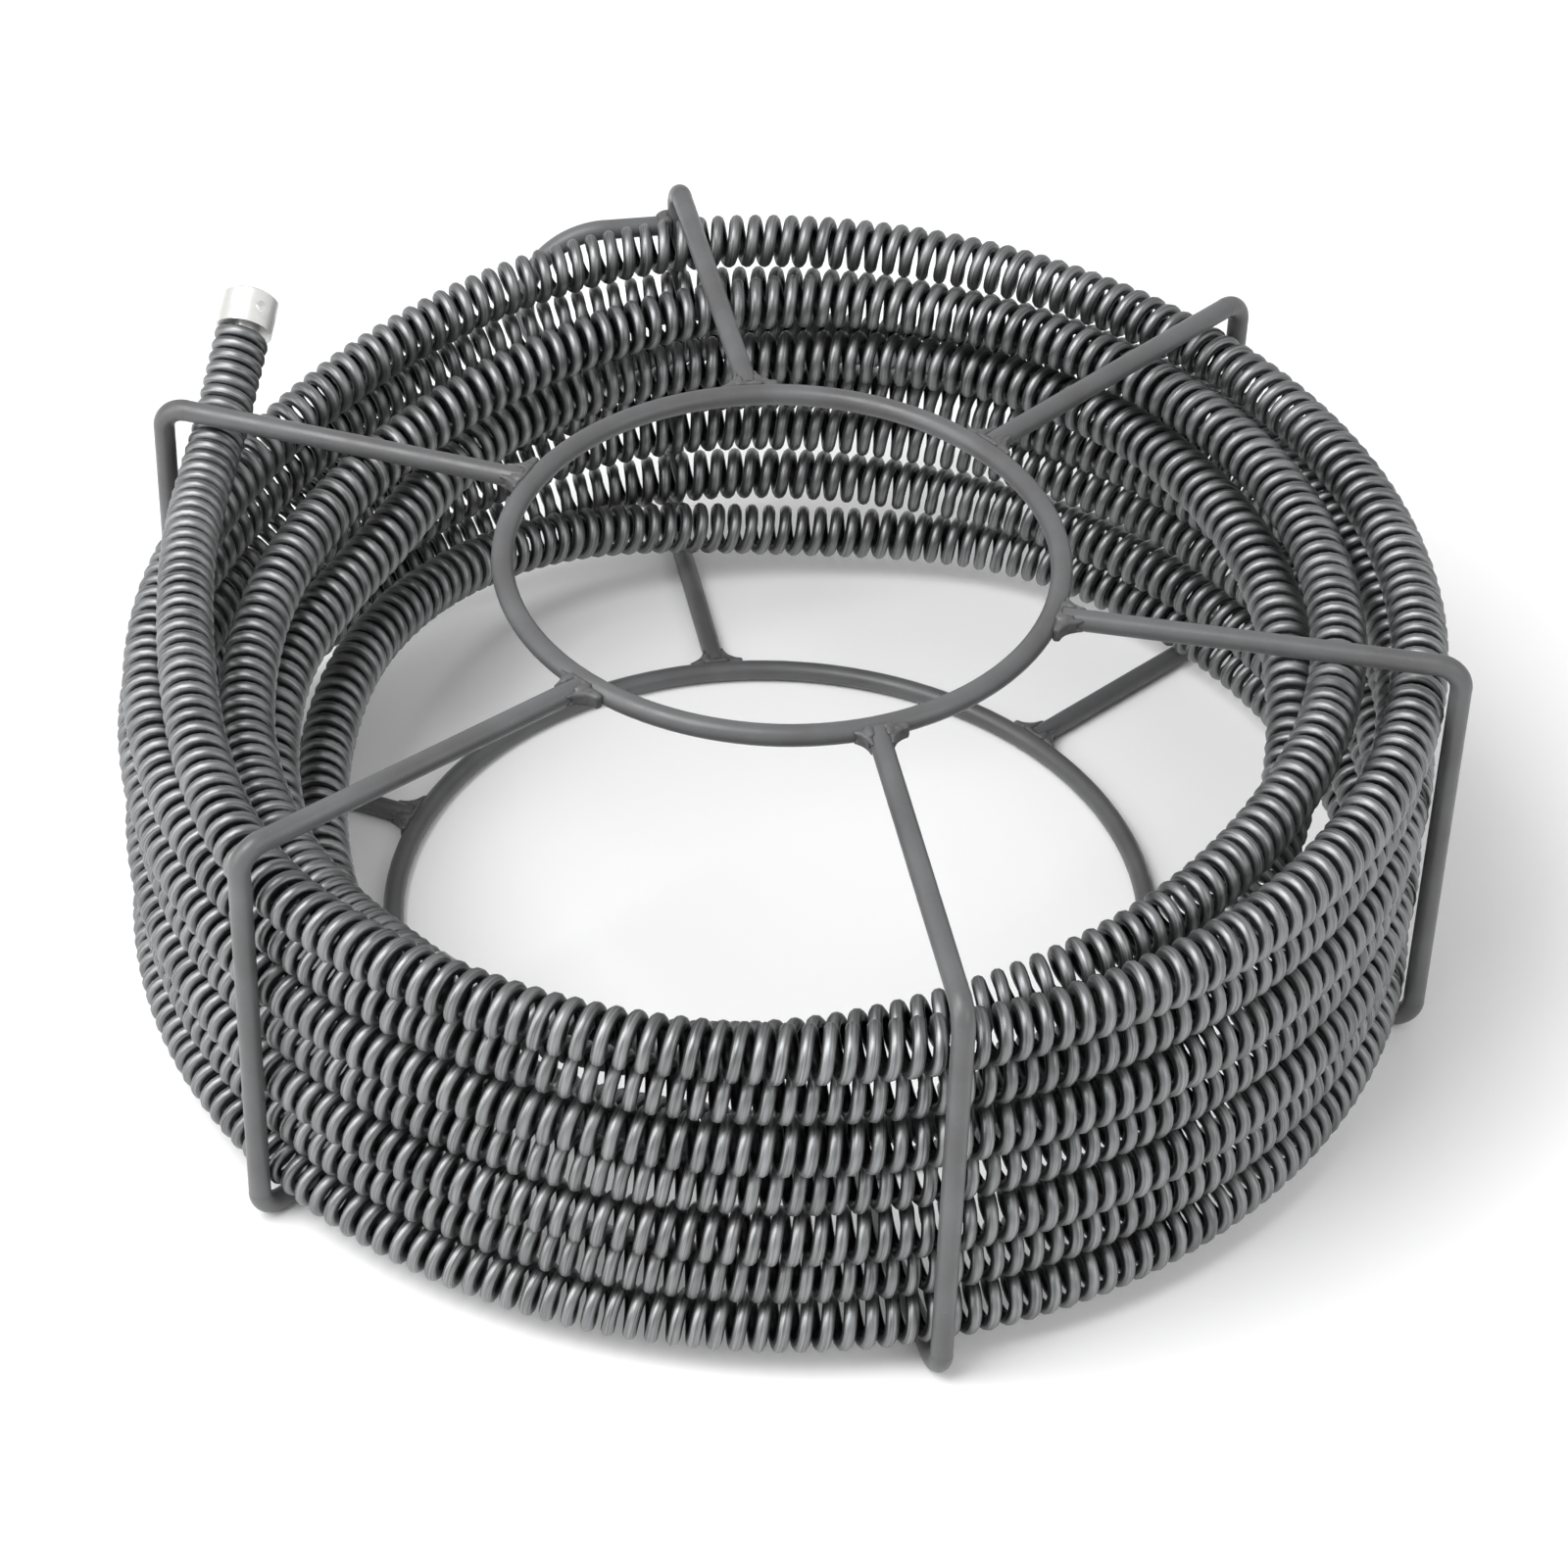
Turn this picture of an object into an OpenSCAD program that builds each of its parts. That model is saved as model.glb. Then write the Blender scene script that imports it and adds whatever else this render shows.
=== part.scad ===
// Drain cable in a welded rod carrier.
// Origin: floor level, on the carrier's centre line. +Z is up.
// Azimuths run counter-clockwise from +X, seen from above.

/* [Cable] */
// Outside diameter of the wound cable
cable_d = 16; // [12:0.5:17]
// Diameter of the round spring wire that the cable is wound from
wire_d = 3.8; // [2.4:0.1:4]
// Straight, close-wound length at each end of the cable
end_len = 24; // [20:1:28]

/* [Carrier] */
// Radius from the centre line to the middle of the upright legs
cage_r = 186; // [165:1:230]
// Height between the middles of the top and bottom arms
cage_h = 127; // [127:1:160]
// Diameter of the rod that the carrier is bent from
rod_d = 6; // [4:0.5:7]
// Radius of the top ring, to the middle of its rod
top_ring_r = 76; // [40:1:92]
// Radius of the bottom ring, to the middle of its rod
bottom_ring_r = 109; // [80:1:125]
// Bend radius at the corners of a hoop, to the middle of the rod
bend_r = 7; // [5:0.5:10]
// Bend radius of the hanging loop, to the middle of the rod
loop_r = 25; // [18:1:30]
// Straight length of the hanging loop before its bend
loop_len = 22; // [14:1:30]

/* [Couplings] */
// Outside diameter of both couplings
coupling_d = 16.5; // [16.5:0.25:18]
// Length of the slotted head of the female coupling
head_len = 11; // [11:0.5:16]
// Diameter of the release hole in the female coupling
release_hole_d = 3.4; // [3:0.1:4]
// Diameter of the nose of the spring-loaded plunger
nose_d = 2.8; // [2.4:0.1:3]

/* [Hidden] */

// --- carrier ---
rod_r = rod_d / 2;
rod_fn = 72;
ring_fn = 240;
bend_swell = 0.05;
bend_lap = 0.5;
z_bottom = rod_r;
z_top = z_bottom + cage_h;
// The legs are spaced by eye before welding, so the six angles are near, but not at, 60 degrees.
leg_az = [101, 45, -12, -75, -136, 161];
// Where each hoop's arms meet the top and the bottom ring: they are welded on a little askew.
arm_az = [98, 44, -17, -70, -131, 156];
foot_az = [100, 46, -11, -77, -137, 162];
weld_r = rod_r + 1.4;
web_len = 6;
web_t = rod_d * 0.65;
bead_t = rod_d * 0.9;
// The welds are cut this much clear of the rods that they join, so that no two pieces overlap.
weld_gap = 0.06;
loop_z = z_top - 14;

// --- cable route ---
gap = 0.3;
cable_r = cable_d / 2;
bore_r = cable_r - wire_d;
lay_r = cage_r - rod_r - cable_r - gap;
lay_z = z_bottom + rod_r + cable_r + 0.2;
// The stack of outer rows leaves this much room below the top arms.
stack_room = 5.8;
stack_h = z_top - rod_r - stack_room - cable_r - lay_z;
rows = 1 + floor(stack_h / (cable_d + 0.4));
// Rows sit a little closer at one side than at the other, and every second row is set in a little.
row_pitch = stack_h / (rows - 1);
row_sway = 0.55;
row_set_in = 2.3;
// Each turn is nearly flat and steps down to the next row between these two azimuths.
drop_from = 95;
drop_to = 165;
tail_az = 156.4;
turn_steps = 36;
step_az = 360 / turn_steps;
// The inner turns end this many steps after the outer rows.
inner_steps = 79;
ring_sides = 12;
// The free end bends most, so its first steps are each split into finer ones.
split_steps = 2;
split = 5;
last_ring = turn_steps * rows + inner_steps + split_steps * (split - 1);
// The first turn springs in from the legs round azimuth 188, and its end springs up and out.
dip_az = 188;
dip_half = 40;
dip_depth = 12.5;
tail_lift = 9.5;
tail_rise_over = 12;
tail_out = 1.1;
tail_out_over = 5;
// Loose inner turns, every 30 degrees from azimuth 60, where the last outer row ends: distance
// in from the set-in rows in cable diameters, and height as a share of the stack.
inner_from = 60 + 360 * rows;
inner_step = 30;
last_row_in = -row_set_in * (1 + cos(180 * (rows - 1))) / 2 / cable_d;
inner_turns = [
    [last_row_in, 0], [0.6, 0.02], [1.22, 0.17], [2.22, 0.3], [2.75, 0.31], [2.5, 0.32],
    [1.78, 0.39], [1.15, 0.48], [1.03, 0.58], [1.47, 0.705], [1.9, 0.8], [1.65, 0.825],
    [1.09, 0.79], [1, 0.735], [1.34, 0.69], [2.34, 0.64], [2.09, 0.635], [1.75, 0.575],
    [1.95, 0.59], [1.4, 0.74], [1.09, 0.91], [1.31, 0.945], [1.19, 0.955], [1.01, 0.97],
    [1, 0.97], [1.01, 0.94], [1.72, 0.915], [1.75, 0.815], [1.69, 0.79], [1.35, 0.755],
    [1.3, 0.715],
];

function smooth(f) = f * f * (3 - 2 * f);
function bump(x, half) = abs(x) >= half ? 0 : pow(1 - pow(x / half, 2), 2);
function pitch_at(az) = row_pitch + row_sway * sin(az);

// Rows passed so far at route angle a, counted down from the top row.
function level(a) =
    let (u = (a - drop_from - 360) / 360, k = floor(u))
    max(0, k + smooth(min(1, (u - k) * 360 / (drop_to - drop_from))));

function outer_r(a) =
    lay_r - row_set_in * (1 - cos(180 * level(a))) / 2
    - dip_depth * bump(a - dip_az, dip_half)
    + tail_out * pow(max(0, 1 - (a - tail_az) / tail_out_over), 2);
function outer_z(a) =
    lay_z + (rows - 1 - level(a)) * pitch_at(a)
    + tail_lift * pow(max(0, 1 - (a - tail_az) / tail_rise_over), 2);

// A smooth curve through the stations of the inner turns.
function station(i) = inner_turns[min(len(inner_turns) - 1, abs(i))];
function through(a, b, c, d, f) =
    b + f / 2 * (c - a + f * (2 * a - 5 * b + 4 * c - d + f * (3 * (b - c) + d - a)));
function inner_at(a) =
    let (u = (a - inner_from) / inner_step, i = floor(u))
    through(station(i - 1), station(i), station(i + 1), station(i + 2), u - i);

function route_r(a) = a < inner_from ? outer_r(a) : lay_r - row_set_in - cable_d * inner_at(a)[0];
function route_z(a) = a < inner_from ? outer_z(a) : lay_z + stack_h * inner_at(a)[1];
function route(a) = [route_r(a) * cos(a), route_r(a) * sin(a), route_z(a)];
function unit(v) = v / norm(v);
function along(a) = unit(route(a + 1) - route(a - 1));

// Route angle of ring i of the tube.
function ring_a(i) =
    start_a + step_az * (i < split_steps * split ? i / split : i - split_steps * (split - 1));

// Round section at point p, square to direction t.
function section(p, t, r) =
    let (side = unit(cross(t, [0, 0, 1])), up = cross(side, t))
    [for (i = [0:ring_sides - 1])
        let (w = 360 * (i + 0.5) / ring_sides)
        p + r * (cos(w) * side + sin(w) * up)];

start_a = tail_az;
end_a = start_a + (turn_steps * rows + inner_steps) * step_az;
start_dir = -along(start_a);
end_dir = unit([-sin(end_a), cos(end_a), 0]);
start_tip = route(start_a) + end_len * start_dir;
end_tip = route(end_a) + end_len * end_dir;

// --- couplings ---
shank_r = bore_r - 0.1;
shank_len = end_len - 3;
tube_bore_r = (shank_r + 0.05) / cos(180 / ring_sides);
lip_t = 2.8;
slot_h = 5.2;
slot_spin = 130;
slot_w = 11.4;
neck_w = 7.4;
slot_back = coupling_d / 2 - 3.5;
slot_z = head_len - lip_t - slot_h;
key_clear = 0.2;
edge_cut = 0.7;
key_back = slot_back - key_clear;
key_z = head_len - slot_z - slot_h;
base_t = 6;
key_h = slot_h - 2 * key_clear;
key_top = base_t + lip_t + key_clear + key_h;
pin_z = key_top - key_h / 2;
flange_d = nose_d + 0.7;
pin_bore_d = flange_d + 0.1;
lip_bore_t = 0.7;
flange_t = 1.6;
nose_out = 2;
pin_travel = 2;
spring_wire = 0.45;
spring_d = pin_bore_d - 0.25;
spring_len = 6.5;
pin_bore_len = lip_bore_t + flange_t + spring_len;
spring_coils = 6;
spring_steps = 12;
spring_sides = 6;

// A closed skin over a list of equal-sized loops of points, with both ends capped.
module skin(loops) {
    n = len(loops[0]);
    m = len(loops);
    walls = [
        for (j = [0:m - 2]) for (i = [0:n - 1])
            let (a = j * n + i, b = j * n + (i + 1) % n)
            each [[a, a + n, b + n], [a, b + n, b]]
    ];
    first = [for (i = [0:n - 1]) i];
    last = [for (i = [n - 1:-1:0]) (m - 1) * n + i];
    polyhedron(points = [for (loop = loops) each loop], faces = concat([first], walls, [last]));
}

// Turns a child that points along +Z to point along d.
module aim(d) {
    rotate([0, acos(d[2]), atan2(d[1], d[0])]) children();
}

module torus(ring_r, z, extra = 0) {
    translate([0, 0, z]) rotate_extrude($fn = ring_fn) translate([ring_r, 0])
        circle(rod_r + extra, $fn = rod_fn);
}

module rod(length, extra = 0) {
    cylinder(r = rod_r + extra, h = length, $fn = rod_fn);
}

// A quarter or half bend that starts at the origin along +Z and turns towards +X. The rod swells
// a little where it is bent, and each straight runs a short way into the bend.
module bend(r, angle) {
    translate([r, 0, 0]) rotate([90, 0, 0]) rotate([0, 0, 180 - angle])
        rotate_extrude(angle = angle, $fn = 96) translate([r, 0])
            circle(rod_r + bend_swell, $fn = rod_fn);
}

module ring_top() {
    color("dimgray") torus(top_ring_r, z_top);
}

module ring_bottom() {
    color("dimgray") torus(bottom_ring_r, z_bottom);
}

// Azimuth of the arm of hoop i at its ring, and the arm's line from the ring to the leg.
function ring_az(i, top) = top ? arm_az[i] : foot_az[i];
function ring_r(top) = top ? top_ring_r : bottom_ring_r;
function arm_start(i, top) = ring_r(top) * [cos(ring_az(i, top)), sin(ring_az(i, top))];
function leg_at(i) = cage_r * [cos(leg_az[i]), sin(leg_az[i])];
function arm_line(i, top) = leg_at(i) - arm_start(i, top);
function arm_turn(i, top) = let (v = arm_line(i, top)) atan2(v[1], v[0]);

// One corner of hoop i and the arm that leads from it to the ring, from the end of the leg.
module corner_and_arm(i, top) {
    length = norm(arm_line(i, top));
    rotate([0, 0, arm_turn(i, top)]) rotate([top ? 0 : 180, 0, 0]) {
        rotate([0, 0, 180]) bend(bend_r, 90);
        translate([bend_lap - bend_r, 0, bend_r]) rotate([0, -90, 0])
            rod(length - rod_r - bend_r + bend_lap);
    }
}

module hoop(i) {
    at = leg_at(i);
    color("gray") translate([at[0], at[1], 0]) union() {
        translate([0, 0, z_bottom + bend_r - bend_lap]) rod(cage_h - 2 * bend_r + 2 * bend_lap);
        translate([0, 0, z_bottom + bend_r]) corner_and_arm(i, false);
        translate([0, 0, z_top - bend_r]) corner_and_arm(i, true);
    }
}

// Weld metal where an arm meets its ring: a bead round the rod and a flat web in each corner.
module weld(i, top) {
    start = arm_start(i, top);
    z = top ? z_top : z_bottom;
    color("darkgray") difference() {
        translate([start[0], start[1], z]) rotate([0, 0, arm_turn(i, top)]) {
            intersection() {
                translate([rod_r, 0, 0]) sphere(weld_r, $fn = 48);
                cube([4 * weld_r, 4 * weld_r, bead_t], center = true);
            }
            translate([rod_r - 1.5, 0, -web_t / 2]) linear_extrude(web_t) difference() {
                translate([0, -rod_r - web_len + 1]) square([web_len + 1.5, rod_d + 2 * web_len - 2]);
                for (s = [-1, 1])
                    translate([web_len + 1.5, s * (rod_r + web_len)]) circle(web_len, $fn = 96);
            }
        }
        torus(ring_r(top), z, weld_gap);
        translate([start[0], start[1], z]) rotate([0, 0, arm_turn(i, top)])
            translate([rod_r - weld_gap, 0, 0]) rotate([0, 90, 0]) rod(3 * web_len, weld_gap);
    }
}

// Frame of the hanging loop: +X leads away from leg 1, the loop stands upright.
module at_loop(z) {
    at = leg_at(0);
    translate([at[0], at[1], z]) rotate([0, 0, leg_az[0] + 90]) children();
}

// U-shaped hanging loop, butt-welded to the side of leg 1.
module loop_rod() {
    color("gray") at_loop(loop_z) union() {
        translate([rod_r, 0, 0]) rotate([0, 90, 0]) rod(loop_len - rod_r + bend_lap);
        translate([loop_len, 0, 0]) rotate([0, 90, 0]) bend(loop_r, 180);
        translate([rod_r, 0, -2 * loop_r]) rotate([0, 90, 0]) rod(loop_len - rod_r + bend_lap);
    }
}

// Bead where an end of the hanging loop meets leg 1. It is no thicker towards the cable than a
// ring's bead.
module loop_weld(z) {
    at = leg_at(0);
    color("darkgray") difference() {
        at_loop(z) intersection() {
            translate([rod_r, 0, 0]) rotate([0, 90, 0]) sphere(weld_r, $fn = 48);
            cube([4 * weld_r, bead_t, 4 * weld_r], center = true);
        }
        translate([at[0], at[1], z - 2 * rod_d]) rod(4 * rod_d, weld_gap);
        at_loop(z) translate([rod_r - gap, 0, 0]) rotate([0, 90, 0]) rod(rod_d, weld_gap);
    }
}

// The wound cable as a round tube. A blind bore in each straight end takes a coupling's shank.
module cable_coil() {
    color("slategray") skin(concat(
        [section(start_tip - shank_len * start_dir, -start_dir, tube_bore_r),
         section(start_tip, -start_dir, tube_bore_r),
         section(start_tip, -start_dir, cable_r)],
        [for (i = [0:last_ring])
            let (a = ring_a(i))
            section(route(a), i == 0 ? -start_dir : i == last_ring ? end_dir : along(a), cable_r)],
        [section(end_tip, end_dir, cable_r),
         section(end_tip, end_dir, tube_bore_r),
         section(end_tip - shank_len * end_dir, end_dir, tube_bore_r)]
    ));
}

// Round shank that screws into the cable, with the end of the coupling's body at z = 0.
module shank() {
    translate([0, 0, -shank_len]) cylinder(r = shank_r, h = shank_len, $fn = 48);
}

// Coupling with a T-shaped slot, open at one side and closed at the other.
module female() {
    color("silver") translate(start_tip) aim(start_dir) rotate([0, 0, slot_spin]) difference() {
        union() {
            cylinder(d = coupling_d, h = head_len - edge_cut, $fn = 64);
            translate([0, 0, head_len - edge_cut])
                cylinder(d1 = coupling_d, d2 = coupling_d - 2 * edge_cut, h = edge_cut, $fn = 64);
            shank();
        }
        translate([-slot_w / 2, -coupling_d, slot_z]) cube([slot_w, coupling_d + slot_back, slot_h]);
        translate([-neck_w / 2, -coupling_d, slot_z + slot_h / 2])
            cube([neck_w, coupling_d + slot_back, head_len]);
        translate([0, 0, slot_z + slot_h / 2]) rotate([-90, 0, 0])
            cylinder(d = release_hole_d, h = coupling_d, $fn = 32);
    }
}

// Frame of the male coupling: +Z leads out of the cable and +Y points straight up.
module at_male() {
    translate(end_tip) aim(end_dir) rotate([0, 0, 90]) children();
}

// Coupling with a T-shaped key and a stepped bore for the plunger.
module male() {
    color("silver") at_male() difference() {
        union() {
            cylinder(d = coupling_d, h = base_t, $fn = 64);
            shank();
            intersection() {
                cylinder(d = coupling_d, h = key_top, $fn = 64);
                union() {
                    translate([-neck_w / 2 + key_clear, -coupling_d, base_t - 1])
                        cube([neck_w - 2 * key_clear, coupling_d + key_back, key_top - base_t + 1]);
                    translate([-slot_w / 2 + key_clear, -coupling_d, key_top - key_h])
                        cube([slot_w - 2 * key_clear, coupling_d + key_back, key_h]);
                }
            }
        }
        translate([0, key_back - pin_bore_len, pin_z]) rotate([-90, 0, 0])
            cylinder(d = pin_bore_d, h = pin_bore_len - lip_bore_t, $fn = 32);
        translate([0, 0, pin_z]) rotate([-90, 0, 0])
            cylinder(d = nose_d + 0.1, h = coupling_d, $fn = 32);
    }
}

// Stepped pin: a flange held behind the staked lip and a nose that stands out of the key.
module plunger_pin() {
    color("gainsboro") at_male() translate([0, key_back - lip_bore_t - flange_t, pin_z])
        rotate([-90, 0, 0]) union() {
            cylinder(d = flange_d, h = flange_t, $fn = 32);
            cylinder(d = nose_d, h = flange_t + lip_bore_t + nose_out, $fn = 32);
        }
}

// Compression spring behind the plunger's flange.
module coil_spring() {
    r = (spring_d - spring_wire) / 2;
    rise = spring_len - spring_wire;
    count = spring_coils * spring_steps;
    color("darkgray") at_male() translate([0, key_back - pin_bore_len, pin_z]) rotate([-90, 0, 0])
        skin([for (j = [0:count])
            let (w = 360 * j / spring_steps, z = spring_wire / 2 + rise * j / count)
            [for (i = [0:spring_sides - 1])
                let (q = -360 * i / spring_sides, s = r + spring_wire / 2 * cos(q))
                [s * cos(w), s * sin(w), z + spring_wire / 2 * sin(q)]]]);
}

ring_top();  // top_ring
ring_bottom();  // bottom_ring
hoop(0);  // hoop_1
hoop(1);  // hoop_2
hoop(2);  // hoop_3
hoop(3);  // hoop_4
hoop(4);  // hoop_5
hoop(5);  // hoop_6
weld(0, true);  // top_weld_1
weld(1, true);  // top_weld_2
weld(2, true);  // top_weld_3
weld(3, true);  // top_weld_4
weld(4, true);  // top_weld_5
weld(5, true);  // top_weld_6
weld(0, false);  // bottom_weld_1
weld(1, false);  // bottom_weld_2
weld(2, false);  // bottom_weld_3
weld(3, false);  // bottom_weld_4
weld(4, false);  // bottom_weld_5
weld(5, false);  // bottom_weld_6
loop_rod();  // hanging_loop
loop_weld(loop_z);  // loop_weld_upper
loop_weld(loop_z - 2 * loop_r);  // loop_weld_lower
cable_coil();  // cable
female();  // female_coupling
male();  // male_coupling
plunger_pin();  // plunger
coil_spring();  // plunger_spring
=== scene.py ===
"""Looks of a drain auger: a wound steel cable, coiled in a welded rod carrier.

Everything is in metres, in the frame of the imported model: floor level at z = 0, the carrier's
centre line on the Z axis, and azimuths counted counter-clockwise from +X, seen from above.
"""

from __future__ import annotations

import logging
import math
from dataclasses import dataclass
from enum import Enum
from typing import Iterable

import bmesh
import bpy
from mathutils import Matrix, Vector


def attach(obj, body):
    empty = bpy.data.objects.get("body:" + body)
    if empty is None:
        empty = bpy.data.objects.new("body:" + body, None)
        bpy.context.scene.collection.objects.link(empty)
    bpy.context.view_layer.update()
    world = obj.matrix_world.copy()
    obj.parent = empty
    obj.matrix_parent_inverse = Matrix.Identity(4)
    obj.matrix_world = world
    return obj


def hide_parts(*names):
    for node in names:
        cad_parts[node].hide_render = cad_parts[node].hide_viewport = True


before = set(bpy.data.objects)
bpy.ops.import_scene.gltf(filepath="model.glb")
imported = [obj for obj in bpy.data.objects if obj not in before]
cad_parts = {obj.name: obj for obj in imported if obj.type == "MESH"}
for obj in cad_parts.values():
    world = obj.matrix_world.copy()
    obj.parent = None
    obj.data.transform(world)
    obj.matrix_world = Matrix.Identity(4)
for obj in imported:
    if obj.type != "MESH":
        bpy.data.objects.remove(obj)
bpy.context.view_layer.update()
LOG = logging.getLogger("drain_auger")
MM = 0.001


# --- helpers -------------------------------------------------------------------------------------


def linear(hex_colour: str) -> tuple[float, float, float, float]:
    """Turn an sRGB hex colour into linear light.

    Args:
        hex_colour: Six hex digits, with or without a leading hash.

    Returns:
        Red, green, blue and an alpha of 1, as a colour socket takes them.
    """
    digits = hex_colour.lstrip("#")
    parts = [int(digits[i : i + 2], 16) / 255 for i in (0, 2, 4)]
    flat = [p / 12.92 if p <= 0.04045 else ((p + 0.055) / 1.055) ** 2.4 for p in parts]
    return (flat[0], flat[1], flat[2], 1.0)


def add(
    tree: bpy.types.NodeTree,
    kind: str,
    settings: dict[str, object] | None = None,
    inputs: dict[str | int, object] | None = None,
) -> bpy.types.Node:
    """Add a node to a tree, with its settings and links.

    Args:
        tree: The tree that gets the node.
        kind: The node's Blender type name.
        settings: Attribute values of the node itself.
        inputs: A value or an output socket for each named or numbered input.

    Returns:
        The new node.
    """
    node = tree.nodes.new(kind)
    for name, value in (settings or {}).items():
        setattr(node, name, value)
    for key, value in (inputs or {}).items():
        if isinstance(value, bpy.types.NodeSocket):
            tree.links.new(value, node.inputs[key])
        else:
            node.inputs[key].default_value = value
    return node


def maths(tree: bpy.types.NodeTree, operation: str, *values: object) -> bpy.types.NodeSocket:
    """Add a Math node and give its result.

    Args:
        tree: The tree that gets the node.
        operation: The operation's Blender name.
        *values: Numbers or sockets, in the order of the node's inputs.

    Returns:
        The node's output socket.
    """
    node = add(tree, "ShaderNodeMath", {"operation": operation}, dict(enumerate(values)))
    return node.outputs[0]


def vectors(tree: bpy.types.NodeTree, operation: str, *values: object) -> bpy.types.Node:
    """Add a Vector Math node.

    Args:
        tree: The tree that gets the node.
        operation: The operation's Blender name.
        *values: Vectors or sockets, in the order of the node's inputs.

    Returns:
        The node, whose first output is a vector and second a number.
    """
    return add(tree, "ShaderNodeVectorMath", {"operation": operation}, dict(enumerate(values)))


def dress(node_names: Iterable[str], material: bpy.types.Material) -> None:
    """Give CAD nodes a finish.

    Args:
        node_names: The CAD nodes.
        material: The finish that fills every slot of each node.
    """
    for name in node_names:
        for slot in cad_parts[name].material_slots:
            slot.material = material
        LOG.info("%s: %s", name, material.name)


# --- finishes ------------------------------------------------------------------------------------


@dataclass(frozen=True)
class Finish:
    """A surface finish that can build its own material."""

    name: str
    colour: str
    roughness: float

    def start(self, metallic: float) -> tuple[bpy.types.Material, bpy.types.Node]:
        """Make an empty material with one surface shader.

        Args:
            metallic: 1 for bare metal and 0 for paint.

        Returns:
            The material and its Principled shader.
        """
        material = bpy.data.materials.new(self.name)
        material.use_nodes = True
        tree = material.node_tree
        tree.nodes.clear()
        shader = add(tree, "ShaderNodeBsdfPrincipled", None, {"Metallic": metallic})
        add(tree, "ShaderNodeOutputMaterial", None, {"Surface": shader.outputs[0]})
        return material, shader

    def noise(
        self,
        tree: bpy.types.NodeTree,
        at: bpy.types.NodeSocket,
        size_mm: float,
        detail: float = 3.0,
    ) -> bpy.types.NodeSocket:
        """Add a noise whose patches have a real size.

        Args:
            tree: The material's tree.
            at: The coordinates, in metres.
            size_mm: The size of one patch.
            detail: How many finer layers the noise has.

        Returns:
            The noise's value, mostly 0.3 to 0.7.
        """
        inputs = {"Vector": at, "Scale": 1 / (size_mm * MM), "Detail": detail}
        return add(tree, "ShaderNodeTexNoise", None, inputs).outputs[0]

    def shades(
        self, tree: bpy.types.NodeTree, value: bpy.types.NodeSocket, *stops: tuple[float, str]
    ) -> bpy.types.NodeSocket:
        """Turn a value into a colour.

        Args:
            tree: The material's tree.
            value: The driving value.
            *stops: A value and its sRGB hex colour, in rising order.

        Returns:
            The colour socket.
        """
        node = add(tree, "ShaderNodeValToRGB", None, {0: value})
        elements = node.color_ramp.elements
        while len(elements) < len(stops):
            elements.new(0.5)
        for element, (position, colour) in zip(elements, stops):
            element.position = position
            element.color = linear(colour)
        return node.outputs[0]

    def spread(
        self, tree: bpy.types.NodeTree, value: bpy.types.NodeSocket, low: float, high: float
    ) -> bpy.types.NodeSocket:
        """Map a noise, which lies mostly between 0.3 and 0.7, to a range."""
        inputs = {"Value": value, 1: 0.3, 2: 0.7, 3: low, 4: high}
        return add(tree, "ShaderNodeMapRange", None, inputs).outputs[0]

    def bump(
        self, tree: bpy.types.NodeTree, height: bpy.types.NodeSocket, depth_mm: float
    ) -> bpy.types.NodeSocket:
        """Turn a height of 0 to 1 into a bumped normal of a real depth."""
        inputs = {"Strength": 1.0, "Distance": depth_mm * MM, "Height": height}
        return add(tree, "ShaderNodeBump", None, inputs).outputs[0]

    def blend(
        self,
        tree: bpy.types.NodeTree,
        share: bpy.types.NodeSocket | float,
        under: bpy.types.NodeSocket,
        over: bpy.types.NodeSocket | str,
        way: str = "MIX",
    ) -> bpy.types.NodeSocket:
        """Lay one colour over another.

        Args:
            tree: The material's tree.
            share: How much of the upper colour shows, 0 to 1, as a socket or a number.
            under: The lower colour.
            over: The upper colour, a socket or an sRGB hex.
            way: Blender's name for how the two mix.

        Returns:
            The mixed colour socket.
        """
        upper = linear(over) if isinstance(over, str) else over
        settings = {"data_type": "RGBA", "blend_type": way}
        return add(tree, "ShaderNodeMix", settings, {0: share, 6: under, 7: upper}).outputs[2]


@dataclass(frozen=True)
class RodPaint(Finish):
    """Grey enamel, sprayed on mild steel rod: satin, a little uneven, with dust in it."""

    rubbed: str
    dust: str = "#8f8f8d"
    patch_mm: float = 26.0
    speck_mm: float = 0.8
    wipe_mm: float = 7.0
    peel_mm: float = 1.5
    peel_depth_mm: float = 0.03

    def build(self) -> bpy.types.Material:
        """Make the material: patchy grey, soft gloss and a faint orange-peel surface."""
        material, shader = self.start(metallic=0.0)
        tree = material.node_tree
        at = add(tree, "ShaderNodeTexCoord").outputs["Object"]
        # Cloudy patches show that the enamel was sprayed by hand and lies unevenly.
        patches = self.noise(tree, at, self.patch_mm, 4.0)
        shade = self.shades(tree, patches, (0.35, self.colour), (0.68, self.rubbed))
        # Pale specks are dust that settled while the enamel was wet.
        fine = self.noise(tree, at, self.speck_mm, 2.0)
        specks = self.shades(tree, fine, (0.66, "#000000"), (0.74, "#666666"))
        colour = self.blend(tree, specks, shade, self.dust)
        tree.links.new(colour, shader.inputs["Base Color"])
        # The gloss comes and goes where hands have rubbed the rods.
        wipes = self.noise(tree, at, self.wipe_mm)
        rough = self.spread(tree, wipes, self.roughness - 0.07, self.roughness + 0.1)
        tree.links.new(rough, shader.inputs["Roughness"])
        # Orange peel breaks the long highlight on a rod, which would look like plastic otherwise.
        peel = self.noise(tree, at, self.peel_mm, 1.0)
        tree.links.new(self.bump(tree, peel, self.peel_depth_mm), shader.inputs["Normal"])
        return material


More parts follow.
